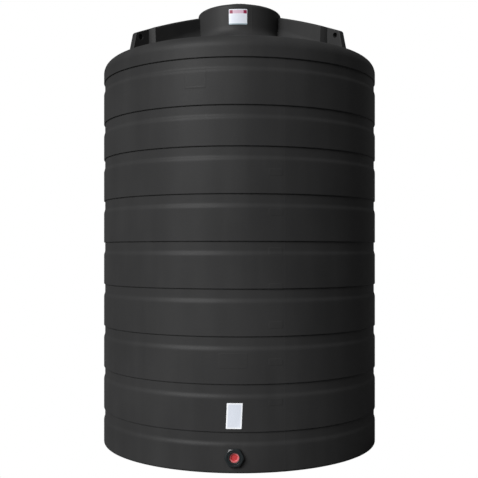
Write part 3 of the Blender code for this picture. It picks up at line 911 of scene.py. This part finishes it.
def mitre(across):
    """Where a rib starts, so that it meets its mirror image in the plane y = 0."""
    return -EYE_Y / DIAGONAL - across


def fillet_size(along):
    """Reach and height of a beam's fillet, which is wide at the turret and small at the outer end."""
    share = np.clip((along - mitre(0)) / (RIB_FULL_END - mitre(0)), 0, 1)
    return [wide + (small - wide) * share for wide, small in zip(FILLET_AT_TURRET, FILLET_AT_END)]


def fillet(along, across, height, size):
    """Spread the foot of a rib over the roof: the nearer a point is to the roof, the further out it goes."""
    reach, tall = size
    above = height - roof_under(along, across)
    push = reach * (1 - np.clip(above / tall, 0, 1)) ** 2
    return across + np.sign(across) * push * np.clip(np.abs(across) / LUG_HALF, 0, 1)


def set_rib(along, across, height, sides):
    """Points of one rib: its measures turned into X and Y, and mirrored to its own quarter."""
    x, y = rib_place(along, across)
    return np.stack([sides[0] * x, sides[1] * np.maximum(y, 0), height + 0 * x], axis=-1)


print("rib top at its outer end:", round(float(rib_top(RIB_END)), 4))

# %% Ribs
RIB_SIDE_POINTS = 26
LUG_SIDE_POINTS = 20


def rib_sections():
    """Sections of the beam: sloping sides and rounded upper edges, narrowing to the lug at the end."""
    beam = np.linspace(mitre(RIB_HALF_FOOT), RIB_FULL_END, 36)
    along = np.concatenate([beam, np.linspace(RIB_FULL_END, RIB_END, 9)[1:]])
    narrow = np.clip((along - RIB_FULL_END) / (RIB_END - RIB_FULL_END), 0, 1)
    foot_half = RIB_HALF_FOOT + (LUG_HALF - RIB_HALF_FOOT) * narrow
    top_half = RIB_HALF_TOP + (LUG_HALF - RIB_HALF_TOP) * narrow
    top = rib_top(along)
    left_foot = roof_under(along, -foot_half) - RIB_SINK
    right_foot = roof_under(along, foot_half) - RIB_SINK
    corners = [(-foot_half, left_foot), (-top_half, top), (top_half, top), (foot_half, right_foot)]
    sections = softened(np.moveaxis(np.array(corners), 2, 0), (RIB_EDGE_CUT, RIB_EDGE_CUT))
    sections = divided(sections, 2 * CURVE_STEPS, RIB_SIDE_POINTS)
    return along, divided(sections, 0, RIB_SIDE_POINTS)


def lifting_rib(place, sides):
    """The beam: a tube that starts in the mitre plane, with both ends closed to a point."""
    stations, sections = rib_sections()
    share = np.linspace(0, 1, 60)
    lines = []
    for line in np.moveaxis(sections, 1, 0):
        along = mitre(line[0, 0]) * (1 - share) + RIB_END * share
        across = np.interp(along, stations, line[:, 0])
        lines.append((along, across, np.interp(along, stations, line[:, 1])))
    along, across, height = np.moveaxis(np.array(lines), 0, 2)
    across = fillet(along, across, height, fillet_size(along))
    points = set_rib(along, across, height, sides)
    first, last = [0 * ring + ring.mean(axis=0) for ring in (points[0], points[-1])]
    points = np.concatenate([first[None], points, last[None]])
    return make_piece(["lifting_rib_" + place], points, polyethylene, closed_rows=False)


def lug_outline():
    """The lug from the side: a rounded upper outer corner, and a foot that runs under the roof."""
    start = (LUG_START, roof_under(LUG_START) - RIB_SINK)
    corners = [
        start,
        (LUG_START, rib_top(LUG_START)),
        (LUG_END_TOP, rib_top(LUG_END_TOP)),
        (LUG_END_FOOT, roof_under(LUG_END_FOOT) - RIB_SINK),
        start,
    ]
    return loop_points(softened(corners, LUG_CORNER_CUTS), LUG_SPACING)


def lifting_lug(place, sides):
    """The lug with its eye.

    Each outline point lies on a ray from the middle of the eye. Along the ray a section runs from the
    hole's wall over the side to the outer edge, across it and back, with its four corners rounded. The
    hole narrows by EYE_TAPER from the side that faces the front or back of the tank, where across is
    positive, to the other side, as a moulded hole does.
    """
    ray = lug_outline() - (0, EYE_HEIGHT)
    reach = np.linalg.norm(ray, axis=1)
    ray = ray / reach[:, None]
    outside = reach - EYE_RADIUS
    nothing = 0 * reach
    half = nothing + LUG_HALF
    middle = nothing - EYE_TAPER / 2
    far = nothing - EYE_TAPER
    corners = [
        (middle, nothing),
        (far, -half),
        (outside, -half),
        (outside, half),
        (nothing, half),
        (middle, nothing),
    ]
    cuts = (EYE_RIM_CUT, LUG_EDGE_CUT, LUG_EDGE_CUT, EYE_RIM_CUT)
    sections = softened(np.moveaxis(np.array(corners), 2, 0), cuts)
    sections = divided(sections, 3 * CURVE_STEPS, LUG_SIDE_POINTS)
    sections = divided(sections, CURVE_STEPS, LUG_SIDE_POINTS)
    away = sections[..., 0] + EYE_RADIUS
    along = ray[:, :1] * away
    height = EYE_HEIGHT + ray[:, 1:] * away
    across = fillet(along, sections[..., 1], height, FILLET_OF_LUG)
    points = set_rib(along, across, height, sides)[:, :-1]
    return make_piece(["lifting_lug_" + place], points, polyethylene)


ribs = [lifting_rib(place, sides) for place, sides in RIB_SIDES.items()]
lugs = [lifting_lug(place, sides) for place, sides in RIB_SIDES.items()]
print("rib and lug faces:", face_counts(ribs + lugs))

# %% [markdown]
# The outlet is a bulkhead fitting: a hexagonal nut pulls a rubber gasket against the flat spot on the
# wall, and a red plug closes the threaded bore. Everything is made round the outlet's own axis, with
# distances measured outwards along -Y.

# %% Sizes of the outlet
BARREL_RADIUS = 0.055
BARREL_BORE = 0.041
NUT_CORNER_RADIUS = 0.083
NUT_FRONT = 1.327827
NUT_BACK = 1.297827
NUT_FACE_RADIUS = 0.0700
NUT_CHAMFER_SLOPE = 0.62
NUT_BACK_CHAMFER = 0.3
NUT_BORE_CHAMFER = 0.002
NUT_CORNER_CUT = 0.0025
NUT_CUTS = (0.0006, 0.0006, 0.001, 0.0012, 0.001, 0.001)
GASKET_RADIUS = 0.071
GASKET_SEAM = 0.063
NUT_SPACING = 0.004
THREAD_PITCH = 0.0035
THREAD_DEPTH = 0.0016
THREAD_MOUTH = 0.005
THREAD_FADE = 0.002
BARREL_BACK = 1.2617
PLUG_FRONT = NUT_FRONT - 0.018
OUTLET_COLUMNS = 120


def round_outlet(radius, out, angle):
    """Points at a radius from the outlet's axis and a distance out, at angles from +X towards +Z."""
    height = OUTLET_HEIGHT + radius * np.sin(angle)
    return np.stack([radius * np.cos(angle), -out + 0 * angle, height], axis=-1)


def outlet_piece(name, outline, finish, change=None, closed_rows=True):
    """An outline turned round the outlet's axis."""
    angle = np.linspace(0, 2 * np.pi, OUTLET_COLUMNS, endpoint=False)[None, :]
    radius, out = spread(outline, angle)
    if change is not None:
        radius = change(radius, out, angle)
    return make_piece([name], round_outlet(radius, out, angle), finish, closed_rows)


print("nut stands out by", round(NUT_FRONT - FRONT_FLAT, 4))

# %% Nut
def outlet_nut():
    """A hexagonal nut.

    Its side follows a hexagon with slightly rounded corners. Its front is flat inside a circle and falls
    away outside it like a cone, which leaves the usual arcs on the six flats.
    """
    turns = np.radians(np.arange(0, 420, 60) - 30)
    middle = 0.5 * (turns[:-1] + turns[1:])
    tips = NUT_CORNER_RADIUS * np.column_stack([np.cos(middle), np.sin(middle)])
    start = 0.5 * (tips[-1] + tips[0])
    side = loop_points(softened(np.vstack([start, tips, start]), [NUT_CORNER_CUT] * 6, steps=5), NUT_SPACING)
    angle = np.arctan2(side[:, 1], side[:, 0])
    edge = np.linalg.norm(side, axis=1)
    drop = (edge - NUT_FACE_RADIUS) * NUT_CHAMFER_SLOPE
    bore = 0 * edge + BARREL_RADIUS + GAP
    face = 0 * edge + NUT_FACE_RADIUS
    front = 0 * edge + NUT_FRONT
    back = 0 * edge + NUT_BACK
    corners = [
        (bore, back),
        (bore, front - NUT_BORE_CHAMFER),
        (bore + NUT_BORE_CHAMFER, front),
        (face, front),
        (edge, front - drop),
        (edge, back + NUT_BACK_CHAMFER * drop),
        (face, back),
        (bore, back),
    ]
    sections = softened(np.moveaxis(np.array(corners), 2, 0), NUT_CUTS, steps=4)
    points = round_outlet(sections[..., 0], sections[..., 1], angle[:, None])
    return make_piece(["outlet_nut"], points, fitting_plastic)


nut_piece = outlet_nut()
print("nut faces:", face_counts([nut_piece]))

# %% Gasket, barrel and plug
gasket_outline = softened(
    [
        (GASKET_SEAM, FRONT_FLAT + GAP),
        (GASKET_RADIUS, FRONT_FLAT + GAP),
        (GASKET_RADIUS, NUT_BACK - GAP),
        (BARREL_RADIUS + GAP, NUT_BACK - GAP),
        (BARREL_RADIUS + GAP, FRONT_FLAT + GAP),
        (GASKET_SEAM, FRONT_FLAT + GAP),
    ],
    (0.0012, 0.0012, 0.0005, 0.0005),
    steps=5,
)[:-1]
gasket_piece = outlet_piece("outlet_gasket", gasket_outline, gasket_rubber)


def thread(radius, out, angle):
    """A thread in the bore: the groove's depth rises and falls once for each pitch and turn."""
    turn = (out / THREAD_PITCH - angle / (2 * np.pi)) % 1
    groove = THREAD_DEPTH * (1 - np.abs(2 * turn - 1))
    in_bore = (radius < BARREL_BORE + 0.0015) & (out > PLUG_FRONT - 0.001)
    mouth = np.clip((NUT_FRONT - THREAD_MOUTH - out) / THREAD_FADE, 0, 1)
    return radius + groove * in_bore * mouth


barrel_outline = np.vstack(
    [
        softened(
            [
                (BARREL_BORE, BARREL_BACK),
                (BARREL_RADIUS, BARREL_BACK),
                (BARREL_RADIUS, NUT_FRONT - 0.004),
                (BARREL_BORE + 0.002, NUT_FRONT - 0.004),
                (BARREL_BORE, NUT_FRONT - 0.006),
            ],
            (0.001, 0.002, 0.001),
            steps=5,
        ),
        np.column_stack([np.full(44, BARREL_BORE), np.linspace(NUT_FRONT - 0.0065, PLUG_FRONT - 0.003, 44)]),
    ]
)
barrel_piece = outlet_piece("outlet_barrel", barrel_outline, fitting_plastic, thread)

plug_edge = BARREL_BORE - GAP
plug_outline = softened(
    [
        (0, PLUG_FRONT - 0.0055),
        (0.010, PLUG_FRONT - 0.0055),
        (0.026, PLUG_FRONT - 0.0070),
        (0.0285, PLUG_FRONT),
        (plug_edge, PLUG_FRONT),
        (plug_edge, PLUG_FRONT - 0.022),
        (0, PLUG_FRONT - 0.022),
    ],
    (0.004, 0.003, 0.002, 0.003, 0.001),
)
plug_piece = outlet_piece("outlet_plug", plug_outline, plug_plastic, closed_rows=False)
print("gasket, barrel and plug faces:", face_counts([gasket_piece, barrel_piece, plug_piece]))

# %% [markdown]
# The label and the sheet are thin skins that follow the curve of what they are stuck to. Each is an open
# grid with rounded corners, and a Solidify modifier gives it its thickness inwards. The sheet's sides lean
# over a little, and its lower right corner has lifted.

# %% Label and sheet
LABEL_SIZE = (0.172, 0.142)
LABEL_CENTRE = 3.961
LABEL_CORNER = 0.006
SHEET_SIZE = (0.129, 0.208)
SHEET_CENTRE = 0.469
SHEET_CORNER = 0.002
SHEET_LEAN = math.radians(2.6)
SHEET_LIFT = 0.012
LIFT_START = 0.35
SKIN = 0.0008
SKIN_STAND = 0.0014
SKIN_ROWS = np.unique(np.concatenate([np.linspace(-1, 1, 30), [-0.995, -0.985, 0.985, 0.995]]))[:, None]


def curved_skin(name, size, centre_height, carrier_radius, corner, finish, lean=0.0, lift=0.0):
    """A rectangle bent round the tank's axis.

    Its half width shrinks near the top and bottom by corner - sqrt(corner^2 - overrun^2), which rounds
    the corners. Its sides then lean over, and the lift grows towards its lower right corner.
    """
    up = SKIN_ROWS * size[1] / 2
    side = np.linspace(-1, 1, 32)[None, :]
    overrun = np.clip(np.abs(up) - size[1] / 2 + corner, 0, corner)
    half = size[0] / 2 - corner + np.sqrt(corner**2 - overrun**2)
    across = side * half
    uv = np.stack([across / size[0] + 0.5, up / size[1] + 0.5 + 0 * across], axis=-1)
    x = across + up * math.tan(lean)
    z = up + centre_height + 0 * across
    away = lift * np.clip(side * 0.5 - up / size[1] - LIFT_START, 0, 1) ** 2
    points = round_axis(carrier_radius + SKIN_STAND + away, z, np.degrees(x / carrier_radius))
    piece = make_piece([name], points, finish, closed_rows=False, closed_columns=False, uv=uv)
    thickness = piece.modifiers.new("thickness", "SOLIDIFY")
    thickness.thickness = SKIN
    return piece


label_piece = curved_skin("turret_label", LABEL_SIZE, LABEL_CENTRE, NECK_RADIUS, LABEL_CORNER, film)
sheet_piece = curved_skin(
    "wall_sheet", SHEET_SIZE, SHEET_CENTRE, TANK_RADIUS, SHEET_CORNER, paper, SHEET_LEAN, SHEET_LIFT
)
print("skins:", label_piece.name, sheet_piece.name)

# %% [markdown]
# Three CAD nodes keep their own meshes, because the picture never shows them closely: the floor of the
# tank, the collar under the lid and the fitting's head inside the tank. They still get real finishes.

# %% Finishes for the nodes that stay
kept_finishes = {
    "tank_floor": polyethylene,
    "manway_collar": polyethylene,
    "outlet_inner_head": fitting_plastic,
}
for node_name, finish in kept_finishes.items():
    node_object = bpy.data.objects[node_name]
    node_object.data.materials.clear()
    node_object.data.materials.append(finish.material)
print("nodes with new finishes:", list(kept_finishes))

# %% [markdown]
# The studio is a plain white floor and soft light. Even light from a large window high on the left does
# most of the work and leaves a soft streak on the upper bands, and a weak panel behind on the right
# lights the far edge. The room is white to the camera but dim to the tank, as black flags make it in a
# studio, because a black surface in a white room would look grey. The floor does the same: it glows
# white for the camera and is a plain dark grey for the light that comes back from it to the tank.

# %% Floor and room
FLOOR_HALF = 60.0
FLOOR_DROP = 0.0005
ROOM_GLOW = 0.112
FLOOR_GLOW = 1.0
FLOOR_GREY = (0.16, 0.16, 0.16, 1)
BLACK = (0, 0, 0, 1)
WHITE = (1, 1, 1, 1)

floor_mesh = bpy.data.meshes.new("studio_floor")
floor_corners = FLOOR_HALF * np.array([(-1, -1), (1, -1), (1, 1), (-1, 1)])
floor_mesh.from_pydata([(x, y, -FLOOR_DROP) for x, y in floor_corners], [], [(0, 1, 2, 3)])
floor = bpy.data.objects.new("studio_floor", floor_mesh)
bpy.context.scene.collection.objects.link(floor)

floor_finish = Finish("studio_floor", {"Roughness": 0.9, "Specular IOR Level": 0.0})
seen = floor_finish.node("ShaderNodeLightPath", output="Is Camera Ray")
floor_finish.set("Base Color", floor_finish.mix(seen, FLOOR_GREY, BLACK))
floor_finish.set("Emission Color", floor_finish.mix(seen, BLACK, WHITE))
floor_finish.shader.inputs["Emission Strength"].default_value = FLOOR_GLOW
floor_mesh.materials.append(floor_finish.material)

world = bpy.data.worlds.new("room")
world.use_nodes = True
bpy.context.scene.world = world
room_nodes = world.node_tree.nodes
room_path = room_nodes.new("ShaderNodeLightPath")
room_mix = room_nodes.new("ShaderNodeMapRange")
room_mix.inputs["To Min"].default_value = ROOM_GLOW
room_mix.inputs["To Max"].default_value = 1.0
world.node_tree.links.new(room_path.outputs["Is Camera Ray"], room_mix.inputs["Value"])
world.node_tree.links.new(room_mix.outputs["Result"], room_nodes["Background"].inputs["Strength"])
room_nodes["Background"].inputs["Color"].default_value = WHITE
bpy.context.scene.view_settings.view_transform = "Standard"
print("room glow on the tank:", ROOM_GLOW)

# %% Lights
AIM_HEIGHT = 2.1
PANEL_SIZE = (3.0, 4.0)
WINDOW_SPREAD = math.radians(42)


def lamp(name, kind, power, azimuth, elevation, away=0.0):
    """A light that points at the tank's axis from an azimuth, an elevation and a distance."""
    light = bpy.data.lights.new(name, kind)
    light.energy = power
    item = bpy.data.objects.new(name, light)
    turn = math.radians(azimuth)
    rise = math.radians(elevation)
    item.location = (
        away * math.cos(rise) * math.sin(turn),
        -away * math.cos(rise) * math.cos(turn),
        AIM_HEIGHT + away * math.sin(rise),
    )
    item.rotation_euler = (math.pi / 2 - rise, 0, turn)
    bpy.context.scene.collection.objects.link(item)
    return item


window = lamp("main_window", "SUN", power=4.45, azimuth=-38, elevation=31)
window.data.angle = WINDOW_SPREAD
far_panel = lamp("far_panel", "AREA", power=2.5, azimuth=128, elevation=20, away=8.0)
far_panel.data.shape = "RECTANGLE"
far_panel.data.size, far_panel.data.size_y = PANEL_SIZE
far_panel.visible_camera = False
print("lights:", window.name, far_panel.name)
